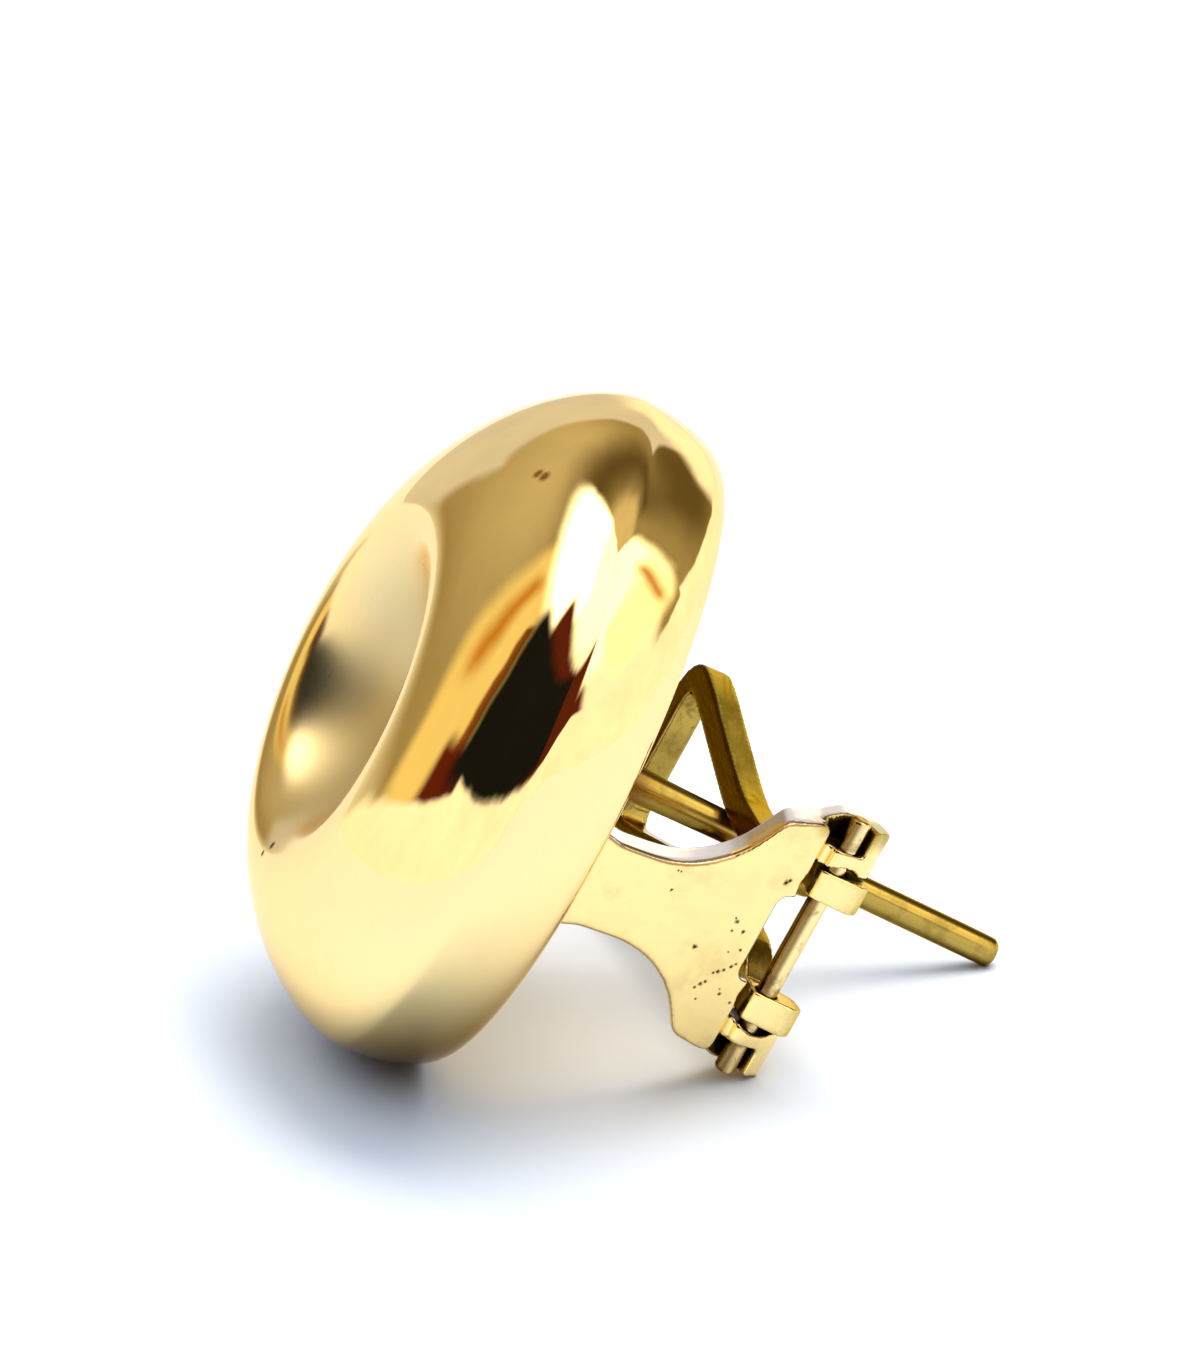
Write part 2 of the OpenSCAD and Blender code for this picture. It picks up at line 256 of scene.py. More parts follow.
def lathe(name, rings, around):
    """A closed skin through circles, of which the first and the last are filled.

    rings has [centre x, centre z, radius, level y].
    """
    clear_selection()
    x, z, radius, y = rings[0]
    bpy.ops.mesh.primitive_circle_add(vertices=around, radius=radius, location=(x, y, z),
                                      rotation=(QUARTER, 0, 0))
    piece = named(name)
    bpy.ops.object.transform_apply(location=True, rotation=True, scale=True)
    bpy.ops.object.mode_set(mode="EDIT")
    bpy.ops.mesh.select_all(action="SELECT")
    for ring in rings[1:]:
        grow = ring[2] / radius
        bpy.ops.mesh.extrude_region_move()
        bpy.ops.transform.resize(value=(grow, 1, grow), center_override=(x, y, z))
        bpy.ops.transform.translate(value=(ring[0] - x, ring[3] - y, ring[1] - z))
        x, z, radius, y = ring
    close_circle()
    bpy.ops.mesh.select_mode(type="VERT")
    bpy.ops.mesh.select_all(action="DESELECT")
    mesh = bmesh.from_edit_mesh(piece.data)
    mesh.verts.ensure_lookup_table()
    for vertex in mesh.verts[:around]:
        vertex.select_set(True)
    mesh.select_flush(True)
    close_circle()
    bpy.ops.mesh.select_all(action="SELECT")
    bpy.ops.mesh.normals_make_consistent(inside=False)
    bpy.ops.object.mode_set(mode="OBJECT")
    return piece


def apply_modifier(piece, kind, **values):
    """Adds a modifier with these values and applies it."""
    make_active(piece)
    modifier = piece.modifiers.new(kind.title(), kind)
    for key, value in values.items():
        setattr(modifier, key, value)
    bpy.ops.object.modifier_apply(modifier=modifier.name)


def finish_piece(piece, body, nodes, material, crease=None):
    """Lays the piece down in the frame, gives it its finish and ties it to the frame."""
    make_active(piece)
    piece.matrix_world = LAID
    bpy.ops.object.transform_apply(location=True, rotation=True, scale=True)
    if crease is None:
        bpy.ops.object.shade_smooth()
    else:
        bpy.ops.object.shade_smooth_by_angle(angle=math.radians(crease))
    piece.data.materials.clear()
    piece.data.materials.append(material)
    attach(piece, body)
    if nodes:
        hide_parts(*nodes)
    clear_selection()


def measure_hollows(piece, reach, others):
    """Stores in the attribute hollow how much of each vertex's view the piece and other nodes shut off, for
    painted shade in hollows.
    """
    corners = [vertex.co for vertex in piece.data.vertices]
    faces = [list(face.vertices) for face in piece.data.polygons]
    to_own = LAID.inverted()
    for node in others:
        first, mesh = len(corners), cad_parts[node].data
        corners += [to_own @ vertex.co for vertex in mesh.vertices]
        faces += [[first + index for index in face.vertices] for face in mesh.polygons]
    tree = BVHTree.FromPolygons(corners, faces)
    rays = []
    for i in range(HOLLOW_RAYS):
        up = 1 - (i + FIRST_RAY) / (HOLLOW_RAYS + SPARE_RAYS)
        out = math.sqrt(1 - up * up)
        rays.append((out * math.cos(GOLDEN_TURN * i), out * math.sin(GOLDEN_TURN * i), up))
    shares = []
    for vertex in piece.data.vertices:
        normal = vertex.normal
        side = normal.orthogonal().normalized()
        other = normal.cross(side)
        start = vertex.co + normal * HOLLOW_LIFT
        hits = sum(tree.ray_cast(start, side * x + other * y + normal * z, reach)[0] is not None
                   for x, y, z in rays)
        shares.append(hits / len(rays))
    piece.data.attributes.new("hollow", "FLOAT", "POINT").data.foreach_set("value", shares)


def copy_of_node(node, name):
    """A merged copy of a CAD node's mesh, in millimetres in the earring's own directions."""
    clear_selection()
    piece = bpy.data.objects.new(name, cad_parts[node].data.copy())
    bpy.context.scene.collection.objects.link(piece)
    piece.data.materials.clear()
    piece.data.transform(LAID.inverted())
    make_active(piece)
    bpy.ops.object.mode_set(mode="EDIT")
    bpy.ops.mesh.select_all(action="SELECT")
    bpy.ops.mesh.remove_doubles(threshold=MERGE)
    bpy.ops.object.mode_set(mode="OBJECT")
    return piece


def round_over(piece, grain, steps):
    """Rounds every edge as casting and polishing do, on an even skin of small faces."""
    apply_modifier(piece, "REMESH", mode="VOXEL", voxel_size=grain, adaptivity=0)
    apply_modifier(piece, "SMOOTH", factor=0.5, iterations=steps)


def new_tree_node(tree, kind, inputs=None, **settings):
    """Adds a shader node, sets its properties and its unlinked or linked inputs."""
    made = tree.nodes.new(kind)
    for key, value in settings.items():
        setattr(made, key, value)
    for key, value in (inputs or {}).items():
        if isinstance(value, bpy.types.NodeSocket):
            tree.links.new(value, made.inputs[key])
        else:
            made.inputs[key].default_value = value
    return made


def math_node(tree, operation, a, b=0.0, c=0.0, clamp=False):
    """The result of one sum."""
    return new_tree_node(tree, "ShaderNodeMath", {0: a, 1: b, 2: c},
                         operation=operation, use_clamp=clamp).outputs[0]


def vector_node(tree, operation, *inputs):
    """The outputs of one sum with vectors."""
    return new_tree_node(tree, "ShaderNodeVectorMath", dict(enumerate(inputs)), operation=operation).outputs


def smooth_step(tree, value, low, high):
    """0 below low, 1 above high and smooth between them."""
    return new_tree_node(tree, "ShaderNodeMapRange",
                         {"Value": value, "From Min": low, "From Max": high, "To Min": 0.0, "To Max": 1.0},
                         interpolation_type="SMOOTHSTEP").outputs[0]


def mixed(tree, factor, a, b):
    """Colour a, going over to b by the factor."""
    return new_tree_node(tree, "ShaderNodeMix", {0: factor, 6: a, 7: b}, data_type="RGBA").outputs[2]


def noise(tree, place, waves, detail, roughness=0.55):
    """Even noise with this many waves in each unit of the place."""
    values = {"Vector": place, "Scale": waves, "Detail": detail, "Roughness": roughness}
    return new_tree_node(tree, "ShaderNodeTexNoise", values).outputs[0]


def start_group(name, inputs, outputs):
    """An empty shader node group with named sockets, and its input and output nodes."""
    group = bpy.data.node_groups.new(name, "ShaderNodeTree")
    for label, kind, default in inputs:
        socket = group.interface.new_socket(name=label, in_out="INPUT", socket_type=kind)
        if default is not None:
            socket.default_value = default
    for label, kind in outputs:
        group.interface.new_socket(name=label, in_out="OUTPUT", socket_type=kind)
    return group, group.nodes.new("NodeGroupInput").outputs, group.nodes.new("NodeGroupOutput").inputs


def placed_group(tree, name, make, values=None):
    """One use of a node group, made at its first use, with these values."""
    group = bpy.data.node_groups.get(name) or make()
    return new_tree_node(tree, "ShaderNodeGroup", values, node_tree=group)


def own_place(tree):
    """Places on the object in millimetres, in the earring's own directions."""
    shift, turn, size = LAID.inverted().decompose()
    return new_tree_node(tree, "ShaderNodeMapping",
                         {"Vector": new_tree_node(tree, "ShaderNodeTexCoord").outputs["Object"],
                          "Location": shift, "Rotation": turn.to_euler("XYZ"), "Scale": size}).outputs[0]


# Values between which an effect sets in: the noise of patches and of lines, the distance from the middle of a
# mark as a share of its radius, and the share of the view that a hollow shuts off
PATCH_EDGE = (0.5, 0.66)
LINE_EDGE = (0.45, 0.7)
MARK_EDGE = (0.6, 1.4)
HOLLOW_EDGE = (0.34, 0.62)
# Strength with which the lines stain, and roughness that stains, lines and the painted shade in hollows add
LINE_STAIN = 0.5
STAIN_DULL = 0.2
LINE_DULL = 0.15
HOLLOW_DULL = 0.3
# Waves a millimetre in the ragged edges of the marks, and a number of radii that is outside every mark
MARK_WAVES = 14.0
FAR_OUT = 9.0
# Strength of the relief, and the metres by which a height of one stands out
RELIEF = 0.2
RELIEF_HEIGHT = 0.05 * MM


def worn_gold_group():
    """Gold whose colour, gloss and relief change with tarnish and with fine lines along its grain."""
    group, given, out = start_group(
        "worn_gold",
        [("Gold", "NodeSocketColor", (0.9, 0.7, 0.35, 1)),
         ("Tarnish", "NodeSocketColor", (0.4, 0.2, 0.06, 1)),
         ("Tarnish Amount", "NodeSocketFloat", 0.2), ("Patches", "NodeSocketFloat", 0.7),
         ("Gloss", "NodeSocketFloat", 0.1), ("Lines", "NodeSocketFloat", 0.1),
         ("Grain", "NodeSocketVector", (9, 0.3, 9))],
        [("Color", "NodeSocketColor"), ("Roughness", "NodeSocketFloat"), ("Height", "NodeSocketFloat")])
    place = own_place(group)
    patches = smooth_step(group, noise(group, place, given["Patches"], detail=5, roughness=0.62), *PATCH_EDGE)
    stain = math_node(group, "MULTIPLY", patches, given["Tarnish Amount"], clamp=True)
    stretched = vector_node(group, "MULTIPLY", place, given["Grain"])[0]
    lines = noise(group, stretched, 1.0, detail=3, roughness=0.6)
    streaks = math_node(group, "MULTIPLY", smooth_step(group, lines, *LINE_EDGE), given["Lines"])
    stain = math_node(group, "MAXIMUM", stain, math_node(group, "MULTIPLY", streaks, LINE_STAIN))
    group.links.new(mixed(group, stain, given["Gold"], given["Tarnish"]), out["Color"])
    rough = math_node(group, "MULTIPLY_ADD", stain, STAIN_DULL, given["Gloss"])
    group.links.new(math_node(group, "MULTIPLY_ADD", streaks, LINE_DULL, rough), out["Roughness"])
    group.links.new(math_node(group, "MULTIPLY", lines, given["Lines"]), out["Height"])
    return group


def spots_group(name, spots, ragged):
    """Mask of round marks.

    spots has [x, y, z, radius] in millimetres, and ragged is how far noise moves the edges of the marks.
    """
    group, _, out = start_group(name, [], [("Mask", "NodeSocketFloat")])
    place = own_place(group)
    nearest = FAR_OUT
    for x, y, z, radius in spots:
        away = vector_node(group, "DISTANCE", place, (x, y, z))["Value"]
        nearest = math_node(group, "MINIMUM", math_node(group, "DIVIDE", away, radius), nearest)
    edge = math_node(group, "MULTIPLY_ADD", noise(group, place, MARK_WAVES, detail=2), ragged, nearest)
    group.links.new(math_node(group, "SUBTRACT", 1.0, smooth_step(group, edge, *MARK_EDGE)), out["Mask"])
    return group


def facing_group():
    """Mask of the skin that faces one direction, where shade or highlight is painted."""
    group, given, out = start_group(
        "facing",
        [("Direction", "NodeSocketVector", (0, 0, 1)), ("Low", "NodeSocketFloat", 0.3),
         ("High", "NodeSocketFloat", 0.8)],
        [("Mask", "NodeSocketFloat")])
    normal = new_tree_node(group, "ShaderNodeTexCoord").outputs["Normal"]
    lean = vector_node(group, "DOT_PRODUCT", normal, given["Direction"])["Value"]
    group.links.new(smooth_step(group, lean, given["Low"], given["High"]), out["Mask"])
    return group


def gold_material(name, gold, tarnish, *, gloss, stained, patches, lines, grain, marks=(), faces=(),
                  dirt_and_shade=None, rim=(1, 1, 1, 1)):
    """A worn gold finish.

    gloss is its least roughness, stained and lines are strengths, patches is waves a millimetre and grain is
    waves a millimetre along x, y and z. marks has [name, spots, raggedness, tint, added roughness, depth] and
    faces has [own direction, low, high, tint, strength], a tint painted as shade or highlight by which way the
    skin faces. The colour given for the hollows is painted shade where the view is shut off, and rim tints
    what is mirrored at a slant.
    """
    material = bpy.data.materials.new(name)
    material.use_nodes = True
    tree = material.node_tree
    tree.nodes.clear()
    worn = placed_group(tree, "worn_gold", worn_gold_group,
                        {"Gold": gold, "Tarnish": tarnish, "Tarnish Amount": stained, "Gloss": gloss,
                         "Patches": patches, "Lines": lines, "Grain": grain})
    color, rough, height = worn.outputs["Color"], worn.outputs["Roughness"], worn.outputs["Height"]
    # Painted shade and highlights, by which way the skin faces
    for own_direction, low, high, tint, strength in faces:
        direction = (LAID.to_3x3() @ Vector(own_direction)).normalized()
        mask = placed_group(tree, "facing", facing_group, {"Direction": direction, "Low": low, "High": high})
        color = mixed(tree, math_node(tree, "MULTIPLY", mask.outputs["Mask"], strength), color, tint)
    for mark, spots, ragged, tint, dull, depth in marks:
        mask = placed_group(tree, mark, partial(spots_group, mark, spots, ragged)).outputs["Mask"]
        color = mixed(tree, mask, color, tint)
        rough = math_node(tree, "MULTIPLY_ADD", mask, dull, rough)
        height = math_node(tree, "MULTIPLY_ADD", mask, -depth, height)
    # Painted shade: darker and duller where much of the view is shut off
    if dirt_and_shade:
        hollow = new_tree_node(tree, "ShaderNodeAttribute", attribute_name="hollow").outputs["Fac"]
        mask = smooth_step(tree, hollow, *HOLLOW_EDGE)
        color = mixed(tree, mask, color, dirt_and_shade)
        rough = math_node(tree, "MULTIPLY_ADD", mask, HOLLOW_DULL, rough)
    bump = new_tree_node(tree, "ShaderNodeBump",
                         {"Height": height, "Strength": RELIEF, "Distance": RELIEF_HEIGHT})
    surface = new_tree_node(tree, "ShaderNodeBsdfPrincipled",
                            {"Base Color": color, "Roughness": rough, "Metallic": 1.0, "Specular Tint": rim,
                             "Normal": bump.outputs[0]})
    new_tree_node(tree, "ShaderNodeOutputMaterial", {"Surface": surface.outputs[0]})
    return material


# Marks on the gold: [x, y, z, radius] in millimetres, in the earring's own directions
DISH_HOLLOW = [(-1, -4.1, 0.8, 4.6)]
BUTTON_SPECKS = [(-5.6, -6.11, -0.3, 0.13), (-6, -6.19, -0.03, 0.1)]
HOOD_DENT = [(7.24, -4.76, -2.31, 0.22), (7.14, -4.86, -2, 0.2)]
BRACKET_PITS = [
    (-2.63, 4.63, -5.32, 0.08), (-2.5, 4.74, -5.27, 0.11), (-2.4, 4.83, -5.22, 0.09),
    (-2.1, 4.92, -5.18, 0.07), (-2.03, 5.03, -5.13, 0.11), (-1.95, 5.16, -5.06, 0.08),
    (-1.8, 5.3, -4.98, 0.09), (-1.7, 5.4, -4.94, 0.07), (-0.55, 4.8, -5.24, 0.11),
    (-0.46, 4.72, -5.28, 0.06), (-0.78, 5.11, -5.08, 0.1), (-0.83, 4.8, -5.24, 0.07),
    (-1.29, 5.3, -4.98, 0.08), (-1.43, 5.01, -5.13, 0.05), (-2.63, 5.4, -4.94, 0.09),
    (-2.5, 5.33, -4.97, 0.06), (-2.79, 5.81, -4.72, 0.08), (-2.94, 4.83, -5.22, 0.06),
    (-1.55, 4.04, -5.59, 0.12), (0.31, 2.54, -6.2, 0.06), (0.31, 2.62, -6.17, 0.05),
    (-0.25, 2.63, -6.17, 0.07), (0.88, 5.53, -4.87, 0.13), (0.95, 5.6, -4.83, 0.1),
]
# Where the ears' tops get painted shade, which also keeps the edges' painted highlight off them
EAR_TOPS_SHADE = [(3.05, 6.0, -4.6, 0.75), (3.1, 6.9, -4.2, 0.75), (3.05, 7.4, -3.9, 0.6)]
POST_FOOT = [(-0.8, 0.3, 3.35, 1.1), (-0.8, 1.4, 3.35, 1.2), (-0.8, 2.3, 3.35, 0.8)]
LOOP_FEET = [(-2.75, 6.7, -4.17, 1.3), (1.15, 6.7, -4.17, 1.3)]


def button_gold(colours):
    """Mirror polish, softer in the dish, with painted shade on the side that the button lies on."""
    marks = [("dish_hollow", DISH_HOLLOW, 0.02, colours.dish, 0.38, 0.0),
             ("button_specks", BUTTON_SPECKS, 0.3, colours.dirt_and_shade, 0.3, 0.3),
             ("hood_dent", HOOD_DENT, 0.6, colours.tarnish, 0.1, 1.0)]
    # Painted shade on the side towards the floor, standing for the floor's shadow that the gold mirrors there
    faces = [(FLOORWARDS, 0.38, 0.9, colours.under, 0.95)]
    return gold_material("polished_gold", colours.mirror, colours.tarnish, gloss=0.02, stained=0.03,
                         patches=0.5, lines=0.03, grain=(3, 3, 3), marks=marks, faces=faces,
                         rim=colours.warm_rim)


def plate_gold(colours):
    """Satin polish of the flat back."""
    return gold_material("plate_gold", colours.pale, colours.tarnish, gloss=0.12, stained=0.25,
                         patches=0.5, lines=0.08, grain=(3, 3, 0.4))


def post_gold(colours):
    """Drawn wire with painted shade on two sides, and brown round its foot."""
    marks = [("post_foot", POST_FOOT, 0.3, colours.border, 0.05, 0.0)]
    # Painted shade on two sides of the wire
    faces = [((-1, 0, 0), 0, 0.9, colours.tarnish_and_shade_umber, 0.6),
             ((1, 0, 0), 0.8, 1, colours.tarnish_and_shade_umber, 0.5)]
    return gold_material("post_gold", colours.drawn, colours.tarnish_and_shade_umber, gloss=0.16, stained=0.3,
                         patches=1.2, lines=0.25, grain=(4, 0.2, 4), marks=marks, faces=faces,
                         rim=colours.rim)


def bracket_gold(colours):
    """Pale cast gold with pits, a painted highlight between brown lines of painted shade on its rounded edges,
    painted shade on the ears' tops and painted shade in its corners.
    """
    # Painted shade on the ears' tops
    marks = [("ear_tops_shade", EAR_TOPS_SHADE, 0.3, colours.drawn, 0.05, 0.0),
             ("bracket_pits", BRACKET_PITS, 0.9, colours.dirt_and_shade, 0.4, 1.0)]
    # A painted highlight on the rounded edges, between brown lines of painted shade
    faces = [((1, 0, 0), 0.25, 0.5, colours.border, 0.8),
             ((1, 0, 0), 0.62, 0.85, colours.edge, 0.9),
             ((-1, 0, 0), 0.3, 0.6, colours.border, 0.6)]
    return gold_material("bracket_gold", colours.pale, colours.tarnish, gloss=0.08, stained=0.18,
                         patches=0.55, lines=0.1, grain=(2.5, 0.8, 2.5), marks=marks, faces=faces,
                         dirt_and_shade=colours.dirt_and_shade)


def pin_gold(colours):
    """Bright wire with painted shade along the side that faces the button."""
    # Painted shade on the side that faces the button, darkest where it faces it most
    faces = [((0, -1, 0), -0.2, 0.3, colours.under, 0.85),
             ((0, -1, 0), 0.7, 0.95, colours.tarnish_and_shade_umber, 0.7)]
    return gold_material("pin_gold", colours.mirror, colours.tarnish_and_shade_umber, gloss=0.12, stained=0.6,
                         patches=1.5, lines=0.9, grain=(0.2, 4, 4), faces=faces, rim=colours.rim)


def loop_gold(colours):
    """Drawn wire with painted shade on two sides and in its hollows, and pale feet."""
    marks = [("loop_feet", LOOP_FEET, 0.4, colours.pale, 0.0, 0.0)]
    # Painted shade on two sides of the wire, standing for the dark room that they mirror
    faces = [((0, -1, 0), 0.3, 0.8, colours.tarnish_and_shade_umber, 0.96),
             ((-1, 0, 0), 0.3, 0.9, colours.tarnish_and_shade_umber, 0.8)]
    return gold_material("loop_gold", colours.drawn, colours.tarnish_and_shade_umber, gloss=0.12, stained=0.5,
                         patches=0.6, lines=0.9, grain=(3, 3, 0.15), marks=marks, faces=faces,
                         dirt_and_shade=colours.dirt_and_shade, rim=colours.rim)


def dish_ring(sizes, inwards, wall):
    """A circle of the dish this far inwards from its ridge, and how much it follows the front's slope."""
    dish, drop, bend = sizes.dish_radius / MM, sizes.dish_deep / MM, sizes.ridge_round / MM
    steep = 2 * drop / dish
    if inwards < bend:
        fall = steep * inwards ** 2 / (2 * bend)
    else:
        fall = drop - steep * (dish - inwards) ** 2 / (2 * (dish - bend))
    return (sizes.dish_x / MM, sizes.dish_z / MM, dish - inwards, fall + wall - sizes.deep / MM), 1


def flank_ring(sizes, turn, wall):
    """A circle of the flank, from the ridge at no turn to the widest place at a quarter, and its slope."""
    deep, widest = sizes.deep / MM, sizes.widest / MM
    power = 2 / sizes.fullness
    out, level = math.sin(turn) ** power, math.cos(turn) ** power
    radius = (1 - out) * sizes.dish_radius / MM + out * (sizes.radius / MM - wall)
    return ((1 - out) * sizes.dish_x / MM, (1 - out) * sizes.dish_z / MM, radius,
            -widest - (deep - wall - widest) * level), level


def back_ring(sizes, turn, wall, end_radius, end):
    """A circle of the rounding from the widest place to the back, which doesn't follow the slope."""
    radius, widest = sizes.radius / MM, sizes.widest / MM
    return (0, 0, end_radius + (radius - wall - end_radius) * math.cos(turn),
            -end - (widest - end) * (1 - math.sin(turn))), 0


def skin_rings(sizes, wall, end_radius, end, steps):
    """Circles of one skin of the shell, this far inside its outside, from the dish's middle to the back."""
    dish, flank, back = steps
    return ([dish_ring(sizes, sizes.dish_radius / MM * (i / dish) ** DISH_CROWDING, wall)
             for i in range(dish - 1, 0, -1)]
            + [flank_ring(sizes, QUARTER * i / flank, wall) for i in range(flank)]
            + [back_ring(sizes, QUARTER * i / back, wall, end_radius, end) for i in range(back + 1)])


def shape_button(sizes, back):
    """The hollow button: its outer skin, the lip round its mouth and its inner skin."""
    lip_end = (sizes.radius - sizes.back_round) / MM
    mouth = lip_end - back.lip / MM
    rings = skin_rings(sizes, 0, lip_end, 0, OUTER_STEPS)
    rings += [((0, 0, radius, 0), 0) for radius in (lip_end - LIP_EDGE, mouth + back.seam / MM, mouth)]
    rings += skin_rings(sizes, sizes.wall / MM, mouth, back.plate / MM, INNER_STEPS)[::-1]
    piece = lathe("polished_button", [ring for ring, level in rings], AROUND)
    tilt = math.tan(sizes.slope)
    poles = 2
    levels = [level for ring, level in rings for _ in range(AROUND)] + [1] * poles
    for vertex, level in zip(piece.data.vertices, levels, strict=True):
        vertex.co.y -= tilt * vertex.co.z * level
    apply_modifier(piece, "SUBSURF", levels=1, render_levels=1)
    return piece


class EARRING_OT_button(Operator):
    """Shape the polished button with its dish"""

    bl_idname = "earring.button"
    bl_label = "Button"

    def execute(self, context):
        scene = context.scene
        button = shape_button(scene.earring_button, scene.earring_back)
        finish_piece(button, "earring", ["button_shell"], button_gold(scene.earring_colours))
        return {"FINISHED"}


def shape_plate(sizes, back):
    """The flat back plate, a hairline smaller than the shell's mouth, with broken edges."""
    mouth = (sizes.radius - sizes.back_round - back.lip - back.seam) / MM
    thick, broken, hub = back.plate / MM, back.edge_break / MM, back.hub / MM
    rings = [(hub, -thick), (mouth - broken, -thick), (mouth, broken - thick),
             (mouth, -broken), (mouth - broken, 0), (hub, 0)]
    return lathe("back_plate", [(0, 0, radius, y) for radius, y in rings], AROUND)


def shape_post(back):
    """The ear post on its thicker foot, with solder round the foot and a rounded tip."""
    foot, shaft, tip = back.foot_radius / MM, back.post_radius / MM, back.tip_round / MM
    high, end, fillet = back.foot_height / MM, back.post_length / MM, back.foot_fillet / MM
    quarter = [QUARTER * i / CURVE_STEPS for i in range(CURVE_STEPS + 1)]
    rings = [(foot + fillet, -SINK)]
    rings += [(foot + fillet * (1 - math.sin(turn)), fillet * (1 - math.cos(turn))) for turn in quarter]
    rings += [(foot, high), (back.shank_radius / MM, high + back.foot_taper / MM),
              (shaft, back.straight / MM)]
    rings += [(shaft - tip * (1 - math.cos(turn)), end - tip * (1 - math.sin(turn))) for turn in quarter]
    x, z = HINGE_PLACE.x, back.post_z / MM
    post = lathe("ear_post", [(x, z, radius, y) for radius, y in rings], POST_AROUND)
    apply_modifier(post, "SUBSURF", levels=2, render_levels=2)
    return post


def shape_bracket(back):
    """The cast bracket and its ears, cut from the CAD back, sunk into the plate and rounded over."""
    bracket = copy_of_node("clip_back", "bracket_and_ears")
    bpy.ops.object.mode_set(mode="EDIT")
    bpy.ops.mesh.select_all(action="SELECT")
    bpy.ops.mesh.bisect(plane_co=(0, NEAR, 0), plane_no=(0, 1, 0), use_fill=True, clear_inner=True)
    select_where(bracket, "VERT", lambda middle: middle.z > 0)
    bpy.ops.mesh.delete(type="VERT")
    select_where(bracket, "FACE", lambda middle: middle.y < 2 * NEAR)
    bpy.ops.mesh.extrude_region_move()
    bpy.ops.transform.translate(value=(0, -BRACKET_SINK, 0))
    bpy.ops.object.mode_set(mode="OBJECT")
    round_over(bracket, back.grain / MM, CAST_STEPS)
    strip = bracket.vertex_groups.new(name="strip")
    for vertex in bracket.data.vertices:
        strip.add([vertex.index], max(0, min(1, (STRIP_END - vertex.co.y) / STRIP_FADE)), "REPLACE")
    apply_modifier(bracket, "SMOOTH", factor=0.5, iterations=STRIP_STEPS, vertex_group="strip")
    measure_hollows(bracket, BRACKET_REACH, ("clip_loop", "hinge_pin"))
    return bracket


class EARRING_OT_back(Operator):
    """Shape the back plate, the ear post and the bracket with its ears"""

    bl_idname = "earring.back"
    bl_label = "Back, post and bracket"

    def execute(self, context):
        scene = context.scene
        back, colours = scene.earring_back, scene.earring_colours
        plate = shape_plate(scene.earring_button, back)
        finish_piece(plate, "earring", [], plate_gold(colours), CREASE)
        finish_piece(shape_post(back), "earring", [], post_gold(colours))
        finish_piece(shape_bracket(back), "earring", ["clip_back"], bracket_gold(colours))
        return {"FINISHED"}


def shape_pin(back):
    """The straight wire of the hinge, with rounded ends."""
    clear_selection()
    half = back.pin_half / MM
    bpy.ops.mesh.primitive_cylinder_add(vertices=POST_AROUND, radius=back.pin_radius / MM, depth=2 * half,
                                        location=HINGE_PLACE, rotation=(0, QUARTER, 0))
    pin = named("pin_wire")
    bpy.ops.object.transform_apply(location=True, rotation=True, scale=True)
    bpy.ops.object.mode_set(mode="EDIT")
    select_where(pin, "EDGE", lambda middle: abs(abs(middle.x - HINGE_PLACE.x) - half) < NEAR)
    bpy.ops.mesh.bevel(offset=PIN_END_ROUND, offset_type="OFFSET", segments=CURVE_STEPS, profile=0.5,
                       affect="EDGES")
    bpy.ops.object.mode_set(mode="OBJECT")
    return pin


def shape_loop(back):
    """The omega of square wire, its edges rounded as drawing does."""
    loop = copy_of_node("clip_loop", "omega_loop")
    round_over(loop, DRAWN_GRAIN * back.grain / MM, DRAWN_STEPS)
    measure_hollows(loop, LOOP_REACH, ("clip_back", "hinge_pin"))
    return loop


class EARRING_OT_hinge(Operator):
    """Shape the hinge pin and the clip loop"""

    bl_idname = "earring.hinge"
    bl_label = "Hinge pin and loop"

    def execute(self, context):
        back, colours = context.scene.earring_back, context.scene.earring_colours
        finish_piece(shape_pin(back), "earring", ["hinge_pin"], pin_gold(colours), CREASE)
        finish_piece(shape_loop(back), "loop", ["clip_loop"], loop_gold(colours))
        return {"FINISHED"}


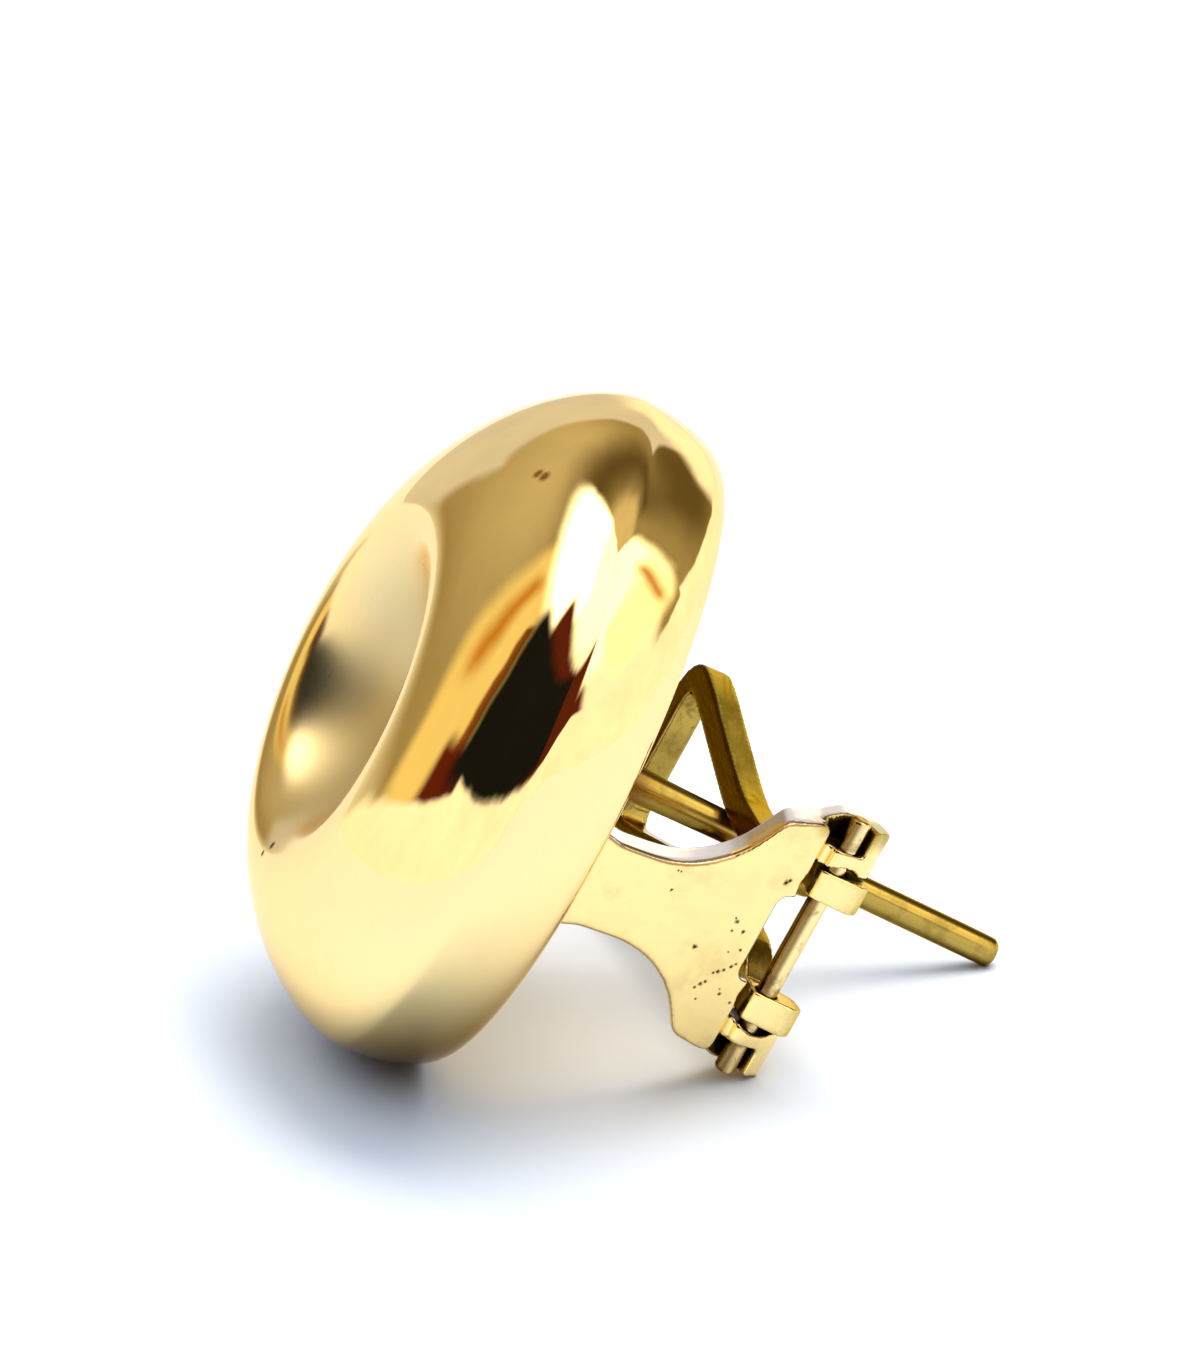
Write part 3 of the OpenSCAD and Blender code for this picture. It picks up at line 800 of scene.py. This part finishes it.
# Cards and openings of the studio that the gold mirrors, later ones over earlier ones:
# [azimuth, elevation, half width, half height, slope, softness, colour, brightness]. All angles are in
# degrees, azimuth 0 is the camera's side and 90 the right, and slope is the rise for each degree of azimuth.
STUDIO = [
    (0, 90, 200, 33, 0, 4, (0.9, 0.76, 0.45), 0.8),
    (125, 34, 48, 33, 0, 6, (0.86, 0.7, 0.36), 0.42),
    (138, 24, 20, 16, -0.3, 12, (0.82, 0.6, 0.2), 0.16),
    (-158, 34, 46, 33, 0, 6, (0.86, 0.7, 0.36), 0.42),
    (-148, 30, 24, 14, 0, 13, (0.9, 0.78, 0.52), 0.66),
    (178, 52, 62, 9, 0, 9, (0.85, 0.6, 0.22), 0.15),
    (-22, 74, 118, 18, 0, 6, (1, 0.97, 0.86), 2.3),
    (-112, 26, 11, 20, 0.1, 2.5, (1, 0.82, 0.36), 0.95),
    (-117, 29, 2, 9, 0.8, 2.5, (1, 0.42, 0.03), 0.6),
    (-107, 24, 1.6, 12, 1, 0.8, (0.9, 0.3, 0.04), 0.3),
    (-103, 15, 9, 4, 0.3, 1.5, (1, 0.14, 0.05), 0.12),
    (-113, 56, 31, 13, -0.1, 5, (1, 0.99, 0.95), 4.2),
    (-32, 36, 66, 18, -0.05, 3, (1, 0.17, 0.06), 0.11),
    (-64, 33, 42, 15, 0.1, 2.5, (0.01, 0.01, 0.01), 1),
    (62, 50, 36, 20, 0, 5, (1, 0.96, 0.8), 2.6),
    (72, 34, 24, 9, 0, 4, (1, 0.93, 0.65), 1.7),
    (86, 37, 3, 9, -0.2, 4, (1, 0.5, 0.08), 0.6),
    (-178, 3, 30, 25, -0.3, 1.5, (0.86, 0.88, 0.95), 0.85),
    (160, 8, 18, 9, 0, 4, (1, 0.98, 0.95), 1.3),
    (0, -4, 100, 22, 0.02, 0.8, (1, 0.99, 0.95), 1.25),
    (124, -10, 27, 23, -0.36, 0.8, (1, 0.99, 0.95), 1.25),
    (-120, -14, 26, 20, 0.38, 0.8, (1, 0.99, 0.95), 1.25),
]
# The sky and the soft key light, which light the floor and aren't mirrored: the first six columns of STUDIO
SKY_CARD = (0, 65, 200, 33, 0, 10)
KEY_CARD = (130, 68, 60, 14, 0, 12)
# Tints of the sky and of the even light round it, at a fill of one
SKY_TINT = (0.78, 0.96, 1.25)
EVEN_TINT = (0.1, 0.11, 0.13)
# Slow and quick waves in the edges of the cards: [waves, strength]
RIPPLES = [(2.5, 0.07), (9, 0.03)]
# Soft clouds over all that the gold mirrors: waves, strength and least brightness
CLOUDS = (4.0, 0.3, 0.87)
# Finish of the floor's paper
PAPER_ROUGHNESS = 0.6
PAPER_SHEEN = 0.2
# The camera's place in metres and its turns in degrees, the nearest and farthest metres that it sees, and the
# width of its picture plane in millimetres
CAMERA_PLACE = (0.001434, -0.188816, 0.075019)
CAMERA_TURNS = (70.9008, 1.6207, 0.0209)
CAMERA_REACH = (0.01, 20)
CAMERA_PLANE = 36


def studio_card_group():
    """Mask of one card seen in a direction given by azimuth and elevation."""
    group, given, out = start_group(
        "studio_card",
        [("Direction", "NodeSocketVector", None), ("Azimuth", "NodeSocketFloat", 0.0),
         ("Elevation", "NodeSocketFloat", 0.0), ("Half Width", "NodeSocketFloat", 10.0),
         ("Half Height", "NodeSocketFloat", 10.0), ("Slope", "NodeSocketFloat", 0.0),
         ("Softness", "NodeSocketFloat", 3.0)],
        [("Mask", "NodeSocketFloat")])
    angle = math_node(group, "MULTIPLY", given["Azimuth"], -math.pi / 180)
    turned = new_tree_node(group, "ShaderNodeVectorRotate",
                           {"Vector": given["Direction"], "Axis": (0, 0, 1), "Angle": angle},
                           rotation_type="AXIS_ANGLE")
    x, y, z = new_tree_node(group, "ShaderNodeSeparateXYZ", {0: turned.outputs[0]}).outputs
    ahead = math_node(group, "MULTIPLY", y, -1.0)
    across = math_node(group, "DEGREES", math_node(group, "ARCTAN2", x, ahead))
    up = math_node(group, "DEGREES", math_node(group, "ARCSINE", z))
    level = math_node(group, "SUBTRACT", up, given["Elevation"])
    level = math_node(group, "SUBTRACT", level, math_node(group, "MULTIPLY", across, given["Slope"]))
    masks = []
    for value, half in ((across, given["Half Width"]), (level, given["Half Height"])):
        inside = math_node(group, "SUBTRACT", half, math_node(group, "ABSOLUTE", value))
        faded = math_node(group, "MULTIPLY", given["Softness"], -1.0)
        masks.append(smooth_step(group, inside, faded, given["Softness"]))
    group.links.new(math_node(group, "MULTIPLY", *masks), out["Mask"])
    return group


def card_mask(tree, direction, azimuth, elevation, width, height, slope, soft):
    """Mask of one card in this direction."""
    values = {"Direction": direction, "Azimuth": azimuth, "Elevation": elevation, "Half Width": width,
              "Half Height": height, "Slope": slope, "Softness": soft}
    return placed_group(tree, "studio_card", studio_card_group, values).outputs["Mask"]


def rippled_direction(tree):
    """The direction of a ray, moved by waves so that the cards' edges aren't quite straight."""
    direction = new_tree_node(tree, "ShaderNodeTexCoord").outputs["Generated"]
    for waves, strength in RIPPLES:
        ripple = new_tree_node(tree, "ShaderNodeTexNoise",
                               {"Vector": direction, "Scale": waves, "Detail": 1.0})
        centred = vector_node(tree, "SUBTRACT", ripple.outputs["Color"], (0.5, 0.5, 0.5))[0]
        direction = vector_node(tree, "MULTIPLY_ADD", centred, (strength, strength, strength), direction)[0]
    return vector_node(tree, "NORMALIZE", direction)[0]


def bright(tint, power):
    """An opaque colour of this brightness."""
    return (*[power * part for part in tint], 1)


def studio_world(stage):
    """The studio: cards that the gold mirrors, and a soft light for the floor."""
    world = bpy.data.worlds.new("studio")
    world.use_nodes = True
    tree = world.node_tree
    tree.nodes.clear()
    direction = rippled_direction(tree)
    cards = bright((1, 1, 1), stage.white)
    for *card, tint, power in STUDIO:
        cards = mixed(tree, card_mask(tree, direction, *card), cards, bright(tint, power))
    waves, strength, least = CLOUDS
    cloud = math_node(tree, "MULTIPLY_ADD", noise(tree, direction, waves, detail=2), strength, least)
    cards = new_tree_node(tree, "ShaderNodeVectorMath", {0: cards, "Scale": cloud},
                          operation="SCALE").outputs[0]
    even = bright(EVEN_TINT, stage.fill)
    for card, tint in ((SKY_CARD, bright(SKY_TINT, stage.fill)), (KEY_CARD, bright((1, 1, 1), stage.key))):
        even = mixed(tree, card_mask(tree, direction, *card), even, tint)
    mirrored = new_tree_node(tree, "ShaderNodeLightPath").outputs["Is Glossy Ray"]
    light = mixed(tree, mirrored, even, cards)
    backdrop = new_tree_node(tree, "ShaderNodeBackground", {"Color": light, "Strength": 1.0})
    new_tree_node(tree, "ShaderNodeOutputWorld", {"Surface": backdrop.outputs[0]})
    return world


def lay_floor(stage):
    """A large sheet of pale paper under the earring."""
    clear_selection()
    bpy.ops.mesh.primitive_plane_add(size=2 * stage.floor, location=(0, 0, 0))
    floor = named("floor")
    material = bpy.data.materials.new("pale_floor")
    material.use_nodes = True
    paper = material.node_tree.nodes["Principled BSDF"]
    paper.inputs["Base Color"].default_value = stage.paper
    paper.inputs["Roughness"].default_value = PAPER_ROUGHNESS
    paper.inputs["Specular IOR Level"].default_value = PAPER_SHEEN
    floor.data.materials.append(material)


def place_camera(scene, stage):
    """The camera, looking down at the earring a little from its front."""
    data = bpy.data.cameras.new("camera")
    data.lens = stage.lens
    data.sensor_width = CAMERA_PLANE
    data.clip_start, data.clip_end = CAMERA_REACH
    camera = bpy.data.objects.new("camera", data)
    scene.collection.objects.link(camera)
    camera.location = CAMERA_PLACE
    camera.rotation_euler = [math.radians(angle) for angle in CAMERA_TURNS]
    scene.camera = camera
    scene.view_settings.view_transform = "Standard"


class EARRING_OT_stage(Operator):
    """Lay the pale floor, light the studio and place the camera"""

    bl_idname = "earring.stage"
    bl_label = "Stage"

    def execute(self, context):
        stage, scene = context.scene.earring_stage, context.scene
        lay_floor(stage)
        scene.world = studio_world(stage)
        place_camera(scene, stage)
        return {"FINISHED"}


class EARRING_PT_sidebar(Panel):
    """The steps that dress the earring, in order"""

    bl_idname = "EARRING_PT_sidebar"
    bl_label = "Earring"
    bl_space_type = "VIEW_3D"
    bl_region_type = "UI"
    bl_category = "Earring"

    def draw(self, context):
        for step in STEPS:
            self.layout.operator(step.bl_idname)
        for group, place in SIZES.items():
            for key in group.__annotations__:
                self.layout.prop(getattr(context.scene, place), key)


SIZES = {ButtonSizes: "earring_button", BackSizes: "earring_back", GoldColours: "earring_colours",
         StageSizes: "earring_stage"}
STEPS = (EARRING_OT_stage, EARRING_OT_button, EARRING_OT_back, EARRING_OT_hinge)


def register():
    """Adds the sizes, the steps and the sidebar."""
    for group, place in SIZES.items():
        bpy.utils.register_class(group)
        setattr(bpy.types.Scene, place, PointerProperty(type=group))
    for step in STEPS:
        bpy.utils.register_class(step)
    bpy.utils.register_class(EARRING_PT_sidebar)


def unregister():
    """Takes the sizes, the steps and the sidebar away again."""
    bpy.utils.unregister_class(EARRING_PT_sidebar)
    for step in reversed(STEPS):
        bpy.utils.unregister_class(step)
    for group, place in SIZES.items():
        delattr(bpy.types.Scene, place)
        bpy.utils.unregister_class(group)


def main():
    """Dresses the earring."""
    register()
    bpy.ops.earring.stage()
    bpy.ops.earring.button()
    bpy.ops.earring.back()
    bpy.ops.earring.hinge()


if __name__ == "__main__":
    main()
